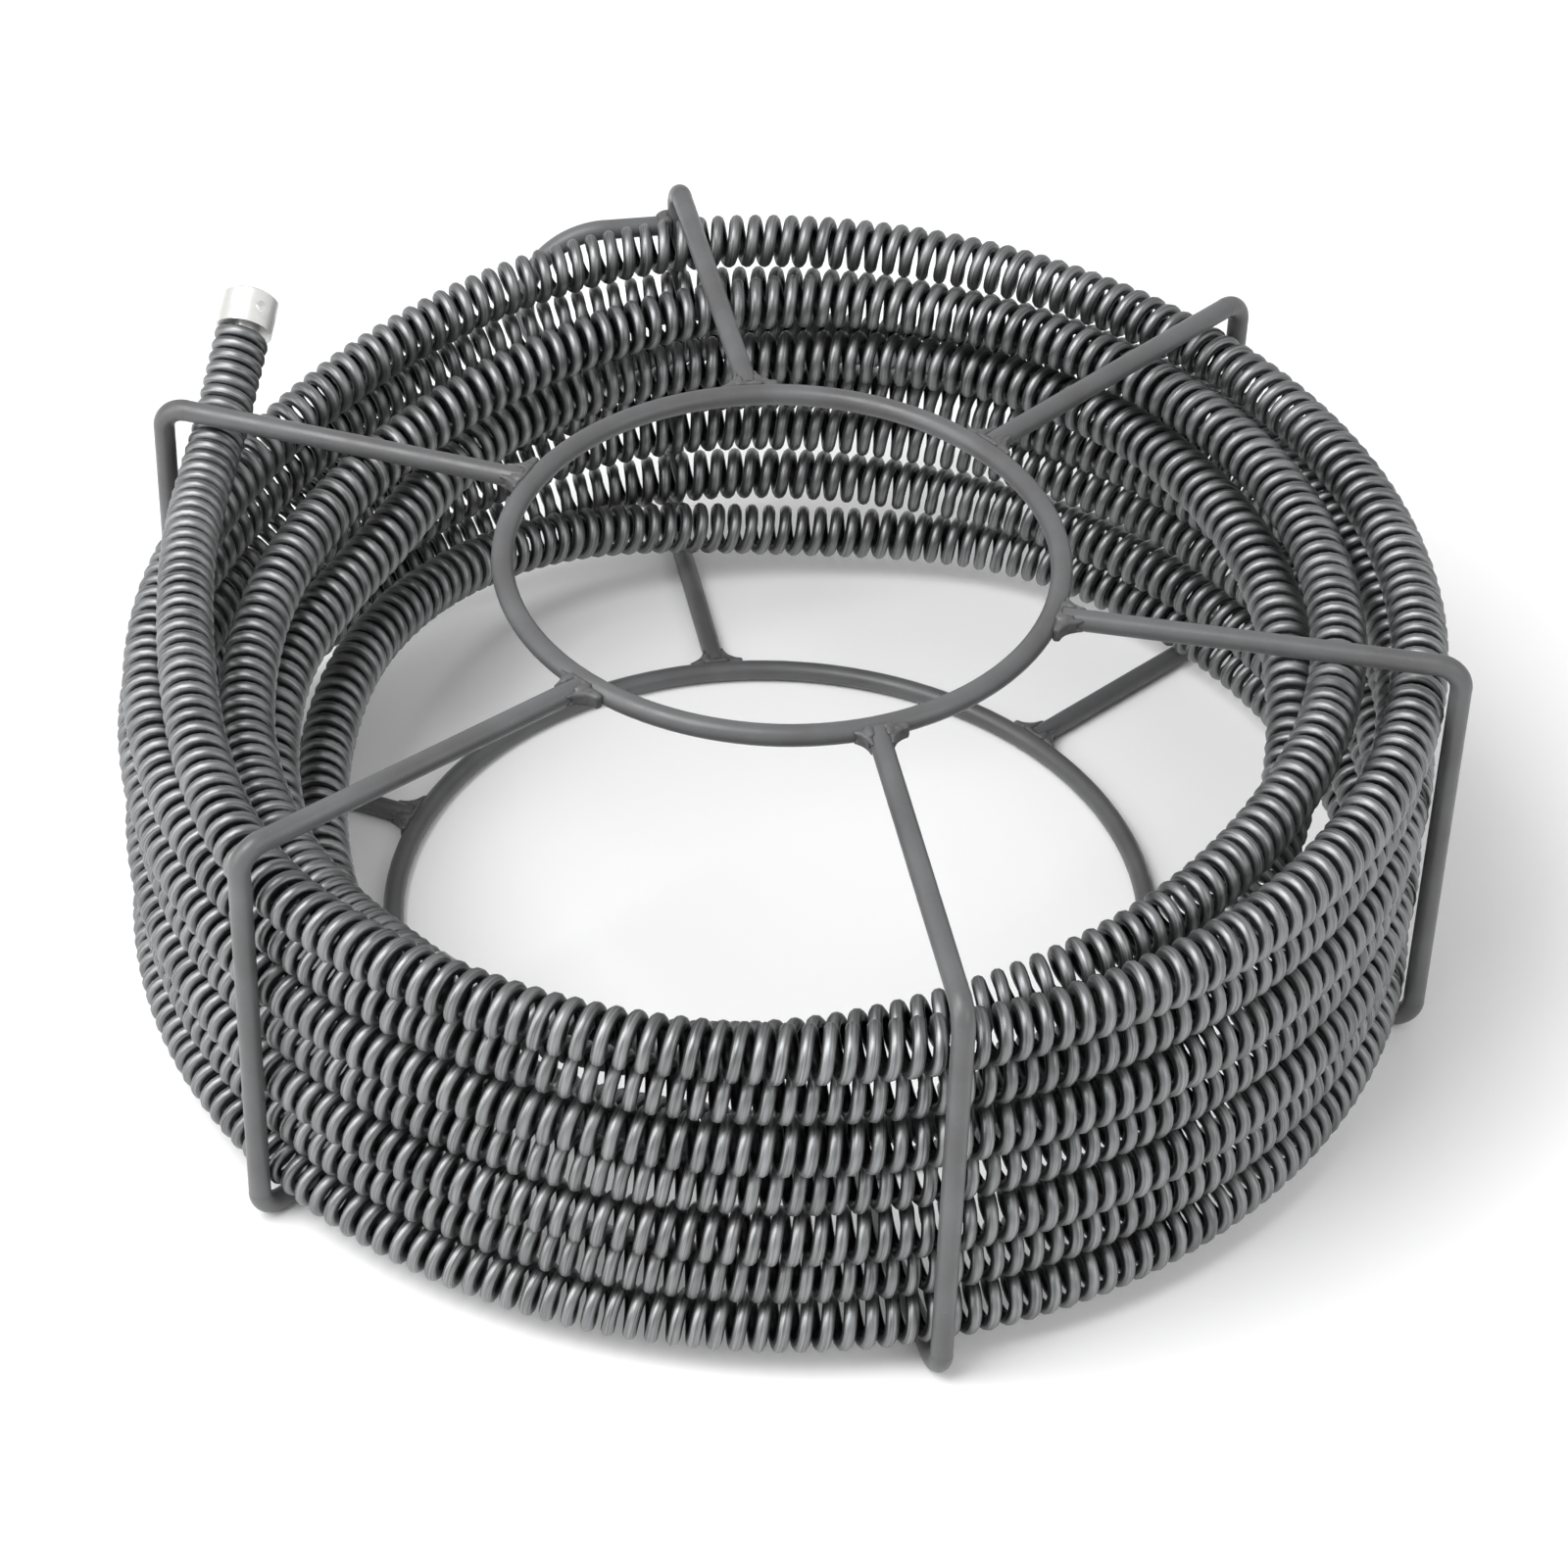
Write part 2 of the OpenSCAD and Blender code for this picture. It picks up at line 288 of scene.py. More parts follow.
@dataclass(frozen=True)
class WeldMetal(Finish):
    """Weld metal under the same enamel: rippled, and darker in the hollows of the ripples."""

    pit: str
    ripple_mm: float = 1.1
    ripple_depth_mm: float = 0.05

    def build(self) -> bpy.types.Material:
        """Make the material: lumps the size of weld ripples, darker in the hollows."""
        material, shader = self.start(metallic=0.0)
        tree = material.node_tree
        at = add(tree, "ShaderNodeTexCoord").outputs["Object"]
        # Ripples of a frozen weld pool: the eye tells a weld from a bend by them.
        ripples = self.noise(tree, at, self.ripple_mm * 1.6, 2.0)
        shade = self.shades(tree, ripples, (0.38, self.pit), (0.6, self.colour))
        tree.links.new(shade, shader.inputs["Base Color"])
        rough = self.spread(tree, ripples, self.roughness + 0.12, self.roughness - 0.05)
        tree.links.new(rough, shader.inputs["Roughness"])
        normal = self.bump(tree, ripples, self.ripple_depth_mm)
        tree.links.new(normal, shader.inputs["Normal"])
        return material


@dataclass(frozen=True)
class SpringWire(Finish):
    """Hard-drawn spring steel, oiled: die lines run along the wire, rubbed bright outside, with
    grime and painted shade darkening the inside of each coil.
    """

    rubbed: str
    # Colour of oil, grime and painted shade on the inside of each coil.
    grime_and_shade: str
    streak_mm: float = 0.5
    streak_length: float = 40.0
    streak_depth_mm: float = 0.02
    patch_mm: float = 38.0

    def build(self) -> bpy.types.Material:
        """Make the material from the wire's own attributes, which the winding stores."""
        material, shader = self.start(metallic=1.0)
        tree = material.node_tree
        girth = add(tree, "ShaderNodeAttribute", {"attribute_name": "girth"}).outputs["Vector"]
        run = add(tree, "ShaderNodeAttribute", {"attribute_name": "run"}).outputs["Fac"]
        outward = add(tree, "ShaderNodeAttribute", {"attribute_name": "outward"}).outputs["Fac"]
        slow_run = maths(tree, "DIVIDE", run, self.streak_length)
        lengthwise = add(tree, "ShaderNodeCombineXYZ", None, {"Z": slow_run}).outputs[0]
        along = vectors(tree, "ADD", girth, lengthwise).outputs[0]
        # Die lines run with the wire, so each coil shows a drawn highlight, not a cast one.
        streaks = self.noise(tree, along, self.streak_mm, 3.0)
        at = add(tree, "ShaderNodeTexCoord").outputs["Object"]
        patches = self.noise(tree, at, self.patch_mm, 3.0)
        # The outside of each coil is rubbed bright. The inside is darkened, partly by oil and grime
        # and partly by painted shade where the turns hide each other from the light.
        wear_and_shade = maths(tree, "MULTIPLY_ADD", patches, 0.5, maths(tree, "MULTIPLY", outward, 0.75))
        shade = self.shades(tree, wear_and_shade, (0.3, self.grime_and_shade), (0.68, self.colour), (0.98, self.rubbed))
        lines = self.shades(tree, streaks, (0.3, "#a8a8a8"), (0.7, "#ffffff"))
        colour = self.blend(tree, 1.0, shade, lines, "MULTIPLY")
        tree.links.new(colour, shader.inputs["Base Color"])
        mixed = maths(tree, "MULTIPLY_ADD", streaks, 0.6, maths(tree, "MULTIPLY", patches, 0.4))
        rough = self.spread(tree, mixed, self.roughness - 0.08, self.roughness + 0.14)
        tree.links.new(rough, shader.inputs["Roughness"])
        tree.links.new(self.bump(tree, streaks, self.streak_depth_mm), shader.inputs["Normal"])
        return material


@dataclass(frozen=True)
class TurnedPlate(Finish):
    """Bright zinc over turned steel: pale silver, with fine lathe rings square to an axis."""

    dull: str
    axis: tuple[float, float, float]
    ring_mm: float = 0.45
    ring_depth_mm: float = 0.012
    bloom_mm: float = 4.0

    def build(self) -> bpy.types.Material:
        """Make the material: rings across the axis and a milky bloom in the plating."""
        material, shader = self.start(metallic=1.0)
        tree = material.node_tree
        at = add(tree, "ShaderNodeTexCoord").outputs["Object"]
        height = vectors(tree, "DOT_PRODUCT", at, Vector(self.axis)).outputs[1]
        across = add(tree, "ShaderNodeCombineXYZ", None, {"Z": height}).outputs[0]
        # Lathe rings say that the piece was turned; the milky bloom says that it was plated.
        rings = self.noise(tree, across, self.ring_mm, 2.0)
        bloom = self.noise(tree, at, self.bloom_mm, 4.0)
        shade = self.shades(tree, bloom, (0.35, self.dull), (0.6, self.colour))
        tree.links.new(shade, shader.inputs["Base Color"])
        rough = self.spread(tree, bloom, self.roughness + 0.1, self.roughness - 0.05)
        tree.links.new(rough, shader.inputs["Roughness"])
        tree.links.new(self.bump(tree, rings, self.ring_depth_mm), shader.inputs["Normal"])
        return material


@dataclass(frozen=True)
class PaleFloor(Finish):
    """Matt white studio board, with a barely uneven surface."""

    tooth_mm: float = 1.2
    tooth_depth_mm: float = 0.01

    def build(self) -> bpy.types.Material:
        """Make the material: flat white with a fine tooth."""
        material, shader = self.start(metallic=0.0)
        tree = material.node_tree
        shader.inputs["Base Color"].default_value = linear(self.colour)
        shader.inputs["Roughness"].default_value = self.roughness
        at = add(tree, "ShaderNodeTexCoord").outputs["Object"]
        tooth = self.noise(tree, at, self.tooth_mm, 2.0)
        tree.links.new(self.bump(tree, tooth, self.tooth_depth_mm), shader.inputs["Normal"])
        return material


# --- cable ---------------------------------------------------------------------------------------


class Hand(Enum):
    """The hand that a cable is wound in, as the sign of its helix angle."""

    LEFT = 1.0
    RIGHT = -1.0


def smooth(share: float) -> float:
    """Ease a share of 0 to 1 at both ends."""
    return share * share * (3 - 2 * share)


def bump_at(offset: float, half: float) -> float:
    """Give a rounded hump that is 1 in the middle and 0 from half away."""
    return 0.0 if abs(offset) >= half else (1 - (offset / half) ** 2) ** 2


@dataclass(frozen=True)
class CableRoute:
    """The line down the middle of the coiled cable, in millimetres and degrees.

    The free end leaves the top row, the outer rows step down to the floor of the carrier, and
    loose inner turns rise from there to the other end.
    """

    cable_d: float = 16.0
    lay_r: float = 174.7
    lay_z: float = 14.2
    stack_h: float = 99.0
    rows: int = 7
    row_sway: float = 0.55
    row_set_in: float = 2.3
    drop_from: float = 95.0
    drop_to: float = 165.0
    tail_az: float = 156.4
    tail_lift: float = 9.5
    tail_rise_over: float = 12.0
    tail_out: float = 1.1
    tail_out_over: float = 5.0
    dip_az: float = 188.0
    dip_half: float = 40.0
    dip_depth: float = 12.5
    inner_step: float = 30.0
    inner_length: float = 790.0
    end_len: float = 24.0
    line_step: float = 2.0
    inner_turns: tuple[tuple[float, float], ...] = (
        (-0.14375, 0.0), (0.6, 0.02), (1.22, 0.17), (2.22, 0.3), (2.75, 0.31), (2.5, 0.32),
        (1.78, 0.39), (1.15, 0.48), (1.03, 0.58), (1.47, 0.705), (1.9, 0.8), (1.65, 0.825),
        (1.09, 0.79), (1.0, 0.735), (1.34, 0.69), (2.34, 0.64), (2.09, 0.635), (1.75, 0.575),
        (1.95, 0.59), (1.4, 0.74), (1.09, 0.91), (1.31, 0.945), (1.19, 0.955), (1.01, 0.97),
        (1.0, 0.97), (1.01, 0.94), (1.72, 0.915), (1.75, 0.815), (1.69, 0.79), (1.35, 0.755),
        (1.3, 0.715),
    )  # fmt: skip

    @property
    def inner_from(self) -> float:
        """Route angle where the last outer row ends."""
        return 60 + 360 * self.rows

    @property
    def end_angle(self) -> float:
        """Route angle of the far end."""
        return self.tail_az + 360 * self.rows + self.inner_length

    def level(self, angle: float) -> float:
        """Rows passed so far at a route angle, counted down from the top row."""
        turns = (angle - self.drop_from - 360) / 360
        whole = math.floor(turns)
        share = (turns - whole) * 360 / (self.drop_to - self.drop_from)
        return max(0.0, whole + smooth(min(1.0, share)))

    def outer(self, angle: float) -> tuple[float, float]:
        """Radius and height in the outer rows."""
        level = self.level(angle)
        rise = max(0.0, 1 - (angle - self.tail_az) / self.tail_rise_over) ** 2
        spring = max(0.0, 1 - (angle - self.tail_az) / self.tail_out_over) ** 2
        pitch = self.stack_h / (self.rows - 1) + self.row_sway * math.sin(math.radians(angle))
        radius = self.lay_r - self.row_set_in * (1 - math.cos(math.pi * level)) / 2
        dip = self.dip_depth * bump_at(angle - self.dip_az, self.dip_half)
        radius += self.tail_out * spring - dip
        return radius, self.lay_z + (self.rows - 1 - level) * pitch + self.tail_lift * rise

    def inner(self, angle: float) -> tuple[float, float]:
        """Radius and height in the loose inner turns, on a smooth curve through the stations."""
        place = (angle - self.inner_from) / self.inner_step
        index = math.floor(place)
        f = place - index
        last = len(self.inner_turns) - 1
        four = [self.inner_turns[min(last, abs(index + k))] for k in (-1, 0, 1, 2)]
        a, b, c, d = (Vector((s[0], s[1], 0)) for s in four)
        at = b + f / 2 * (c - a + f * (2 * a - 5 * b + 4 * c - d + f * (3 * (b - c) + d - a)))
        radius = self.lay_r - self.row_set_in - self.cable_d * at.x
        return radius, self.lay_z + self.stack_h * at.y

    def at(self, angle: float) -> Vector:
        """Place of the middle of the cable at a route angle, in millimetres."""
        radius, height = self.outer(angle) if angle < self.inner_from else self.inner(angle)
        turn = math.radians(angle)
        return Vector((radius * math.cos(turn), radius * math.sin(turn), height))

    def start_way(self) -> Vector:
        """Direction in which the free end leaves the coil."""
        return -(self.at(self.tail_az + 1) - self.at(self.tail_az - 1)).normalized()

    def end_way(self) -> Vector:
        """Direction in which the far end leaves the coil."""
        turn = math.radians(self.end_angle)
        return Vector((-math.sin(turn), math.cos(turn), 0))

    def line(self) -> list[Vector]:
        """Give the whole line in metres, from one coupling to the other."""
        count = round((self.end_angle - self.tail_az) / self.line_step)
        middle = [self.at(self.tail_az + i * self.line_step) for i in range(count + 1)]
        steps = 4
        away = [self.end_len * (1 - i / steps) for i in range(steps)]
        first = [middle[0] + self.start_way() * reach for reach in away]
        last = [middle[-1] + self.end_way() * reach for reach in reversed(away)]
        return [point * MM for point in first + middle + last]


@dataclass
class WoundCable:
    """The cable as one long helix of spring wire, made in lengths that follow each other."""

    route: CableRoute
    finish: SpringWire
    coil_r: float = 6.08 * MM
    wire_r: float = 1.89 * MM
    close_pitch: float = 3.88 * MM
    open_pitch: float = 5.45 * MM
    closed_turns: float = 9.0
    easing_turns: float = 22.0
    unevenness: float = 0.5 * MM
    clumps_per_turn: float = 0.31
    steps: int = 20
    sides: int = 10
    lengths: int = 5
    hand: Hand = Hand.LEFT

    def turns(self, line_length: float) -> float:
        """Number of coils on a line, close at both ends and open between."""
        spare = (self.open_pitch - self.close_pitch) * (2 * self.closed_turns + self.easing_turns)
        return (line_length + spare) / self.open_pitch

    def opened(self, turn: float) -> float:
        """Coils counted as open after a number of coils, from one end."""
        share = min(1.0, max(0.0, (turn - self.closed_turns) / self.easing_turns))
        past = max(0.0, turn - self.closed_turns - self.easing_turns)
        return 0.5 * self.easing_turns * share * share + past

    def place(self, turn: float, turns: float) -> float:
        """Distance along the line after a number of coils."""
        open_turns = self.opened(turn) - turn + self.opened(turns) - self.opened(turns - turn)
        return self.close_pitch * turn + (self.open_pitch - self.close_pitch) * open_turns

    def tree(self, material: bpy.types.Material) -> bpy.types.NodeTree:
        """Build the node tree that winds wire round a line.

        Args:
            material: The wire's finish.

        Returns:
            A geometry tree whose inputs are the line and the winding's sizes.
        """
        tree = bpy.data.node_groups.new("winding", "GeometryNodeTree")
        face = tree.interface
        face.new_socket(name="Line", in_out="INPUT", socket_type="NodeSocketGeometry")
        for name in ("Coil Radius", "Wire Radius", "Close Pitch", "Open Pitch", "Closed Turns",
                     "Easing Turns", "All Turns", "First Turn", "Unevenness", "Lead"):  # fmt: skip
            face.new_socket(name=name, in_out="INPUT", socket_type="NodeSocketFloat")
        for name in ("Points", "Steps", "Sides"):
            face.new_socket(name=name, in_out="INPUT", socket_type="NodeSocketInt")
        face.new_socket(name="Wire", in_out="OUTPUT", socket_type="NodeSocketGeometry")
        given = add(tree, "NodeGroupInput").outputs

        def opened(turn: bpy.types.NodeSocket) -> bpy.types.NodeSocket:
            """Coils counted as open, as the method of that name gives."""
            past = maths(tree, "SUBTRACT", turn, given["Closed Turns"])
            share = maths(tree, "DIVIDE", past, given["Easing Turns"])
            inside = add(tree, "ShaderNodeClamp", None, {0: share}).outputs[0]
            square = maths(tree, "MULTIPLY", inside, inside)
            half = maths(tree, "MULTIPLY", square, 0.5)
            eased = maths(tree, "MULTIPLY", half, given["Easing Turns"])
            rest = maths(tree, "MAXIMUM", maths(tree, "SUBTRACT", past, given["Easing Turns"]), 0.0)
            return maths(tree, "ADD", eased, rest)

        # Where each point of the wire is: its coil, counted from the free end, and its distance
        # along the line.
        index = add(tree, "GeometryNodeInputIndex").outputs[0]
        turn = maths(tree, "ADD", given["First Turn"], maths(tree, "DIVIDE", index, given["Steps"]))
        left = maths(tree, "SUBTRACT", given["All Turns"], turn)
        near = maths(tree, "SUBTRACT", opened(turn), turn)
        far = maths(tree, "SUBTRACT", opened(given["All Turns"]), opened(left))
        open_turns = maths(tree, "ADD", near, far)
        stretch = maths(tree, "SUBTRACT", given["Open Pitch"], given["Close Pitch"])
        closed = maths(tree, "MULTIPLY", turn, given["Close Pitch"])
        even = maths(tree, "MULTIPLY_ADD", open_turns, stretch, closed)
        clumps = add(
            tree,
            "ShaderNodeTexNoise",
            {"noise_dimensions": "1D"},
            {"W": turn, "Scale": self.clumps_per_turn, "Detail": 2.0},
        ).outputs[0]
        start_share = maths(tree, "DIVIDE", opened(turn), given["Easing Turns"])
        end_share = maths(tree, "DIVIDE", opened(left), given["Easing Turns"])
        both = maths(tree, "MINIMUM", start_share, end_share)
        loose = add(tree, "ShaderNodeClamp", None, {0: both}).outputs[0]
        swing = maths(tree, "MULTIPLY", maths(tree, "SUBTRACT", clumps, 0.5), 2.0)
        jitter = maths(tree, "MULTIPLY", maths(tree, "MULTIPLY", swing, loose), given["Unevenness"])
        along = maths(tree, "ADD", maths(tree, "ADD", even, jitter), given["Lead"])

        # The line's own place and direction there, and the two directions square to it.
        curve = add(tree, "GeometryNodeMeshToCurve", None, {"Mesh": given["Line"]}).outputs[0]
        sample = add(
            tree, "GeometryNodeSampleCurve", {"mode": "LENGTH"}, {"Curves": curve, "Length": along}
        )
        way = sample.outputs["Tangent"]
        level = vectors(tree, "CROSS_PRODUCT", way, Vector((0, 0, 1))).outputs[0]
        side = vectors(tree, "NORMALIZE", level)
        up = vectors(tree, "CROSS_PRODUCT", side.outputs[0], way)
        angle = maths(tree, "MULTIPLY", turn, self.hand.value * 2 * math.pi)
        out = vectors(tree, "SCALE", side.outputs[0])
        tree.links.new(maths(tree, "COSINE", angle), out.inputs["Scale"])
        high = vectors(tree, "SCALE", up.outputs[0])
        tree.links.new(maths(tree, "SINE", angle), high.inputs["Scale"])
        both_ways = vectors(tree, "ADD", out.outputs[0], high.outputs[0]).outputs[0]
        spoke = vectors(tree, "SCALE", both_ways)
        tree.links.new(given["Coil Radius"], spoke.inputs["Scale"])
        spot = vectors(tree, "ADD", sample.outputs["Position"], spoke.outputs[0]).outputs[0]

        # The wire itself: points in a row, moved to their spots, and a round section swept along.
        row = add(tree, "GeometryNodeMeshLine", None, {"Count": given["Points"]}).outputs[0]
        path = add(tree, "GeometryNodeMeshToCurve", None, {"Mesh": row}).outputs[0]
        path = add(tree, "GeometryNodeSetPosition", None, {0: path, "Position": spot}).outputs[0]
        around = maths(tree, "MULTIPLY", given["Coil Radius"], 2 * math.pi)
        run = maths(tree, "MULTIPLY", turn, around)
        path = self.keep(tree, path, "run", "FLOAT", run)
        path = self.keep(tree, path, "middle", "FLOAT_VECTOR", sample.outputs["Position"])
        circle = add(
            tree,
            "GeometryNodeCurvePrimitiveCircle",
            None,
            {"Resolution": given["Sides"], "Radius": given["Wire Radius"]},
        ).outputs[0]
        here = add(tree, "GeometryNodeInputPosition").outputs[0]
        circle = self.keep(tree, circle, "girth", "FLOAT_VECTOR", here)
        wire = add(
            tree,
            "GeometryNodeCurveToMesh",
            None,
            {"Curve": path, "Profile Curve": circle, "Fill Caps": True},
        ).outputs[0]
        middle = add(
            tree, "GeometryNodeInputNamedAttribute", {"data_type": "FLOAT_VECTOR"}, {0: "middle"}
        ).outputs[0]
        reach = vectors(tree, "DISTANCE", here, middle).outputs[1]
        inner = maths(tree, "SUBTRACT", given["Coil Radius"], given["Wire Radius"])
        thick = maths(tree, "MULTIPLY", given["Wire Radius"], 2.0)
        outward = maths(tree, "DIVIDE", maths(tree, "SUBTRACT", reach, inner), thick)
        wire = self.keep(tree, wire, "outward", "FLOAT", outward)
        wire = add(tree, "GeometryNodeSetShadeSmooth", None, {0: wire}).outputs[0]
        wire = add(tree, "GeometryNodeRealizeInstances", None, {0: wire}).outputs[0]
        dressed = add(tree, "GeometryNodeSetMaterial", None, {0: wire, "Material": material})
        add(tree, "NodeGroupOutput", None, {0: dressed.outputs[0]})
        return tree

    @staticmethod
    def keep(
        tree: bpy.types.NodeTree,
        geometry: bpy.types.NodeSocket,
        name: str,
        kind: str,
        value: bpy.types.NodeSocket,
    ) -> bpy.types.NodeSocket:
        """Store a value on the points of a geometry, under a name that the finish reads."""
        inputs = {"Geometry": geometry, "Name": name, "Value": value}
        return add(tree, "GeometryNodeStoreNamedAttribute", {"data_type": kind}, inputs).outputs[0]

    def build(self) -> list[bpy.types.Object]:
        """Wind the wire, one length after another.

        Returns:
            The lengths of wire from the free end on, each a plain mesh on the cable pack's body.
        """
        points = self.route.line()
        gaps = [(b - a).length for a, b in zip(points, points[1:])]
        stations = [0.0]
        for gap in gaps:
            stations.append(stations[-1] + gap)
        whole = stations[-1]
        turns = self.turns(whole - 2 * self.wire_r)
        line_mesh = bpy.data.meshes.new("cable_line")
        edges = [(i, i + 1) for i in range(len(points) - 1)]
        line_mesh.from_pydata([tuple(p) for p in points], edges, [])
        line = bpy.data.objects.new("cable_line", line_mesh)
        bpy.context.scene.collection.objects.link(line)
        material = self.finish.build()
        tree = self.tree(material)
        modifier = line.modifiers.new("winding", "NODES")
        modifier.node_group = tree
        sockets = {s.name: s.identifier for s in tree.interface.items_tree if s.in_out == "INPUT"}
        share = round(turns * self.steps / self.lengths)
        total = share * self.lengths
        sizes: dict[str, float | int] = {
            "Coil Radius": self.coil_r,
            "Wire Radius": self.wire_r,
            "Close Pitch": self.close_pitch,
            "Open Pitch": self.open_pitch,
            "Closed Turns": self.closed_turns,
            "Easing Turns": self.easing_turns,
            "All Turns": total / self.steps,
            "Unevenness": self.unevenness,
            "Lead": self.wire_r,
            "Points": share + 1,
            "Steps": self.steps,
            "Sides": self.sides,
        }
        pieces = []
        for number in range(self.lengths):
            first_turn = number * share / self.steps
            for name, value in {**sizes, "First Turn": first_turn}.items():
                modifier[sockets[name]] = value
            line.update_tag()
            depsgraph = bpy.context.evaluated_depsgraph_get()
            mesh = bpy.data.meshes.new_from_object(line.evaluated_get(depsgraph))
            piece = bpy.data.objects.new(f"cable_wire_{number + 1}", mesh)
            bpy.context.scene.collection.objects.link(piece)
            start = self.place(first_turn, total / self.steps)
            end = self.place(first_turn + share / self.steps, total / self.steps)
            end = whole if number == self.lengths - 1 else end + self.wire_r
            start = 0.0 if number == 0 else start + self.wire_r
            self.declare(piece)
            pieces.append(piece)
            LOG.info("%s: %d faces, %.3f m", piece.name, len(mesh.polygons), end - start)
        bpy.data.objects.remove(line)
        return pieces

    def declare(
        self,
        piece: bpy.types.Object,
    ) -> None:
        """Put a length of wire on the cable pack's body and hide the CAD cable that it stands in
        for.

        Args:
            piece: The length of wire.
        """
        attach(piece, "cable_pack")
        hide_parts("cable")

    @staticmethod
    def spot(points: list[Vector], stations: list[float], distance: float) -> Vector:
        """Give the place on the line at a distance along it."""
        for index in range(1, len(points)):
            if stations[index] >= distance - 1e-9:
                span = stations[index] - stations[index - 1]
                share = (distance - stations[index - 1]) / span
                return points[index - 1].lerp(points[index], share)
        return points[-1]


# --- carrier and couplings -----------------------------------------------------------------------


@dataclass(frozen=True)
class Carrier:
    """The welded rod carrier: two rings, six hoops, their welds and the hanging loop."""

    rods: RodPaint
    welds: WeldMetal
    hoops: int = 6
    bead_grain: float = 0.32 * MM
    bead_swell: float = 0.35 * MM
    bead_easing: int = 9
    merge_within: float = 0.001 * MM

    def build(self) -> None:
        """Dress every rod, and give every weld a rounded bead that runs into its rods."""
        hoops = [f"hoop_{i}" for i in range(1, self.hoops + 1)]
        dress(["top_ring", "bottom_ring", "hanging_loop", *hoops], self.rods.build())
        joints = [f"{end}_weld_{i}" for end in ("top", "bottom") for i in range(1, self.hoops + 1)]
        material = self.welds.build()
        for name in [*joints, "loop_weld_upper", "loop_weld_lower"]:
            self.bead(name, material)

    def bead(self, name: str, material: bpy.types.Material) -> bpy.types.Object:
        """Make the rounded bead that stands in for one weld.

        Args:
            name: The weld's CAD node.
            material: The weld metal.

        Returns:
            The bead, a plain mesh that rides on the carrier.
        """
        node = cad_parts[name]
        shape = bmesh.new()
        shape.from_mesh(node.data)
        shape.transform(node.matrix_world)
        bmesh.ops.remove_doubles(shape, verts=shape.verts, dist=self.merge_within)
        rough = bpy.data.meshes.new(f"{name}_rough")
        shape.to_mesh(rough)
        shape.free()
        draft = bpy.data.objects.new(f"{name}_rough", rough)
        bpy.context.scene.collection.objects.link(draft)
        grain = draft.modifiers.new("grain", "REMESH")
        grain.mode = "VOXEL"
        grain.voxel_size = self.bead_grain
        grain.use_smooth_shade = True
        swell = draft.modifiers.new("swell", "DISPLACE")
        swell.strength = self.bead_swell
        swell.mid_level = 0.0
        easing = draft.modifiers.new("easing", "SMOOTH")
        easing.factor = 0.5
        easing.iterations = self.bead_easing
        depsgraph = bpy.context.evaluated_depsgraph_get()
        mesh = bpy.data.meshes.new_from_object(draft.evaluated_get(depsgraph))
        mesh.materials.clear()
        mesh.materials.append(material)
        bead = bpy.data.objects.new(f"{name}_bead", mesh)
        bpy.context.scene.collection.objects.link(bead)
        bpy.data.objects.remove(draft)
        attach(bead, "carrier")
        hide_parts(name)
        LOG.info("%s: %d faces", bead.name, len(mesh.polygons))
        return bead


@dataclass(frozen=True)
class Couplings:
    """The two couplings, the plunger that locks them and its spring."""

    female: TurnedPlate
    male: TurnedPlate
    pin: TurnedPlate

    def build(self) -> None:
        """Dress the couplings and their small parts."""
        dress(["female_coupling"], self.female.build())
        dress(["male_coupling"], self.male.build())
        dress(["plunger", "plunger_spring"], self.pin.build())


# --- studio --------------------------------------------------------------------------------------


@dataclass(frozen=True)
class Softbox:
    """A square soft light that looks at the object."""

    name: str
    place: tuple[float, float, float]
    size: float
    watts: float

    def build(self, target: Vector) -> None:
        """Hang the light and turn it to the target."""
        lamp = bpy.data.lights.new(self.name, "AREA")
        lamp.shape = "SQUARE"
        lamp.size = self.size
        lamp.energy = self.watts
        light = bpy.data.objects.new(self.name, lamp)
        light.location = Vector(self.place)
        light.rotation_euler = (target - light.location).to_track_quat("-Z", "Y").to_euler()
        bpy.context.scene.collection.objects.link(light)


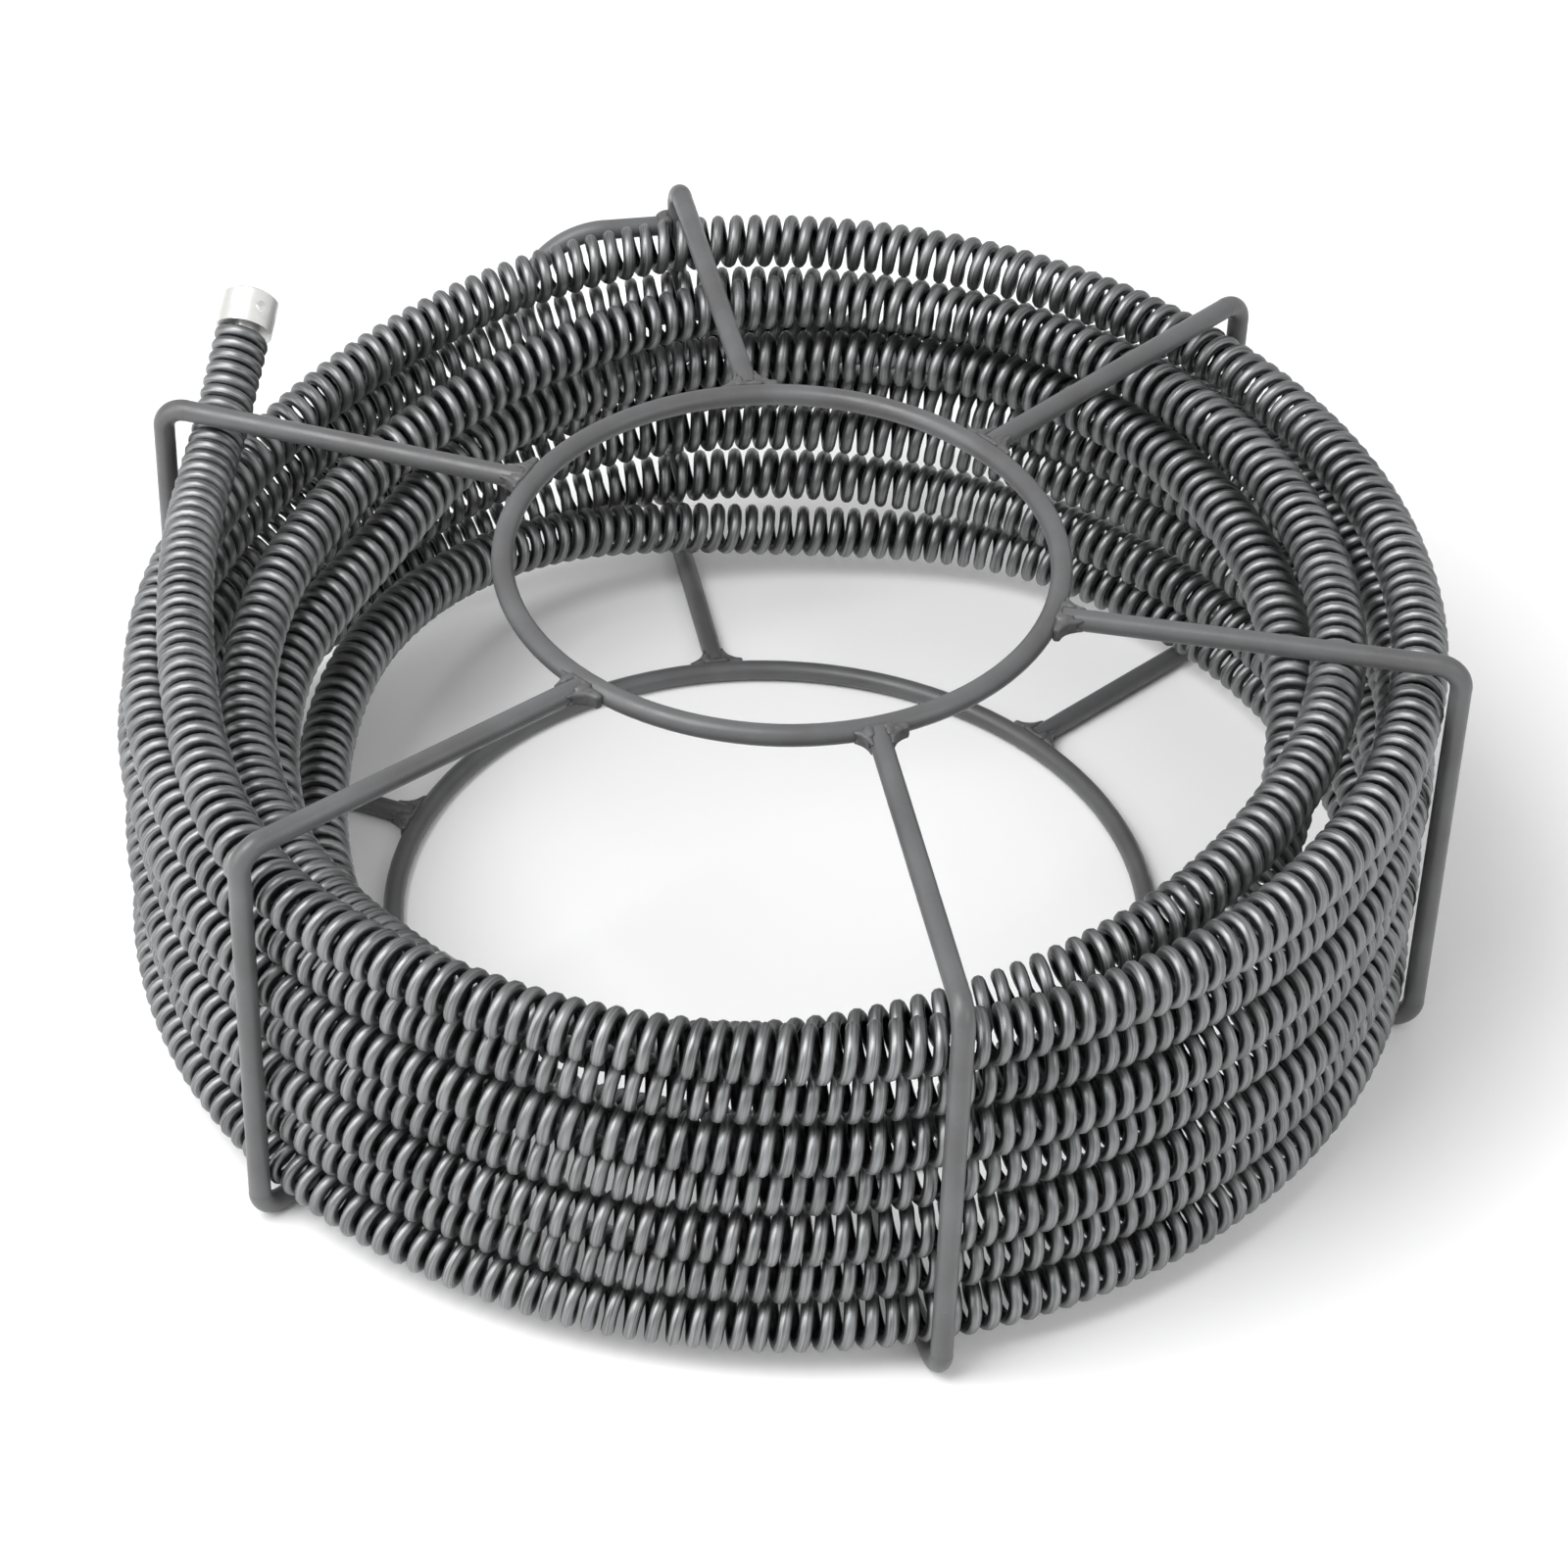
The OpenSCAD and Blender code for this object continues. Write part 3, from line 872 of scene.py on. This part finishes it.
@dataclass(frozen=True)
class Studio:
    """The pale floor, the light and the camera."""

    floor_finish: PaleFloor
    softboxes: tuple[Softbox, ...]
    target: tuple[float, float, float] = (0.0025, 0.0, 0.0494)
    elevation: float = 40.17
    roll: float = 1.89
    distance: float = 1.3219
    focal_mm: float = 107.3
    sensor_mm: float = 36.0
    floor_size: float = 14.0
    sky: float = 0.7

    def camera(self) -> None:
        """Place the camera and make it the scene's."""
        up_angle, roll = math.radians(self.elevation), math.radians(self.roll)
        ahead = Vector((0, math.cos(up_angle), -math.sin(up_angle)))
        above = Vector((0, math.sin(up_angle), math.cos(up_angle)))
        right = Vector((1, 0, 0)) * math.cos(roll) + above * math.sin(roll)
        top = above * math.cos(roll) - Vector((1, 0, 0)) * math.sin(roll)
        data = bpy.data.cameras.new("camera")
        data.lens = self.focal_mm
        data.sensor_width = self.sensor_mm
        data.clip_start = 0.01
        data.clip_end = 50.0
        camera = bpy.data.objects.new("camera", data)
        turn = Matrix((right, top, -ahead)).transposed().to_4x4()
        camera.matrix_world = Matrix.Translation(Vector(self.target) - ahead * self.distance) @ turn
        bpy.context.scene.collection.objects.link(camera)
        bpy.context.scene.camera = camera

    def build(self) -> None:
        """Lay the floor, hang the lights and brighten the room."""
        half = self.floor_size / 2
        corners = [(-half, -half, 0), (half, -half, 0), (half, half, 0), (-half, half, 0)]
        mesh = bpy.data.meshes.new("floor")
        mesh.from_pydata(corners, [], [(0, 1, 2, 3)])
        mesh.materials.append(self.floor_finish.build())
        floor = bpy.data.objects.new("floor", mesh)
        bpy.context.scene.collection.objects.link(floor)
        for softbox in self.softboxes:
            softbox.build(Vector(self.target))
        world = bpy.data.worlds.new("room")
        world.use_nodes = True
        tree = world.node_tree
        tree.nodes.clear()
        sky = add(tree, "ShaderNodeBackground", None, {0: linear("#ffffff"), 1: self.sky})
        add(tree, "ShaderNodeOutputWorld", None, {0: sky.outputs[0]})
        bpy.context.scene.world = world
        bpy.context.scene.view_settings.view_transform = "Standard"


def main() -> None:
    """Build the studio, the cable, the couplings and the carrier."""
    logging.basicConfig(level=logging.INFO, format="%(name)s: %(message)s")
    studio = Studio(
        floor_finish=PaleFloor("matt_white_board", "#f6f6f6", 0.85),
        softboxes=(
            Softbox("key", (-0.9, -0.6, 1.9), 1.3, 36.0),
            Softbox("fill", (1.5, -1.1, 1.2), 1.2, 7.0),
            Softbox("left", (-1.7, -0.7, 0.8), 1.2, 14.0),
        ),
    )
    studio.camera()
    route = CableRoute()
    # The last colour is grime plus painted shade on the inside of each coil.
    wire = SpringWire("oiled_drawn_spring_steel", "#767778", 0.42, "#a0a1a2", "#303031")
    WoundCable(route, wire).build()
    start, end = route.start_way(), route.end_way()
    Couplings(
        # Both couplings share one zinc plating: the female's paler copy is painted light, and the
        # male's darker copy is painted shade.
        female=TurnedPlate("zinc_plate_lit_copy", "#f7f7f5", 0.4, "#e9e9e7", tuple(start)),
        male=TurnedPlate("zinc_plate_shaded_copy", "#e6e6e4", 0.25, "#cfd0cf", tuple(end)),
        pin=TurnedPlate("polished_pin_steel", "#c9c9c9", 0.2, "#a9a9a9", (0.0, 0.0, 1.0)),
    ).build()
    Carrier(
        rods=RodPaint("grey_enamel_on_rod", "#525253", 0.36, "#616263"),
        welds=WeldMetal("grey_enamel_on_weld", "#5a5a5b", 0.42, "#4e4e4f"),
    ).build()
    studio.build()


if __name__ == "__main__":
    main()
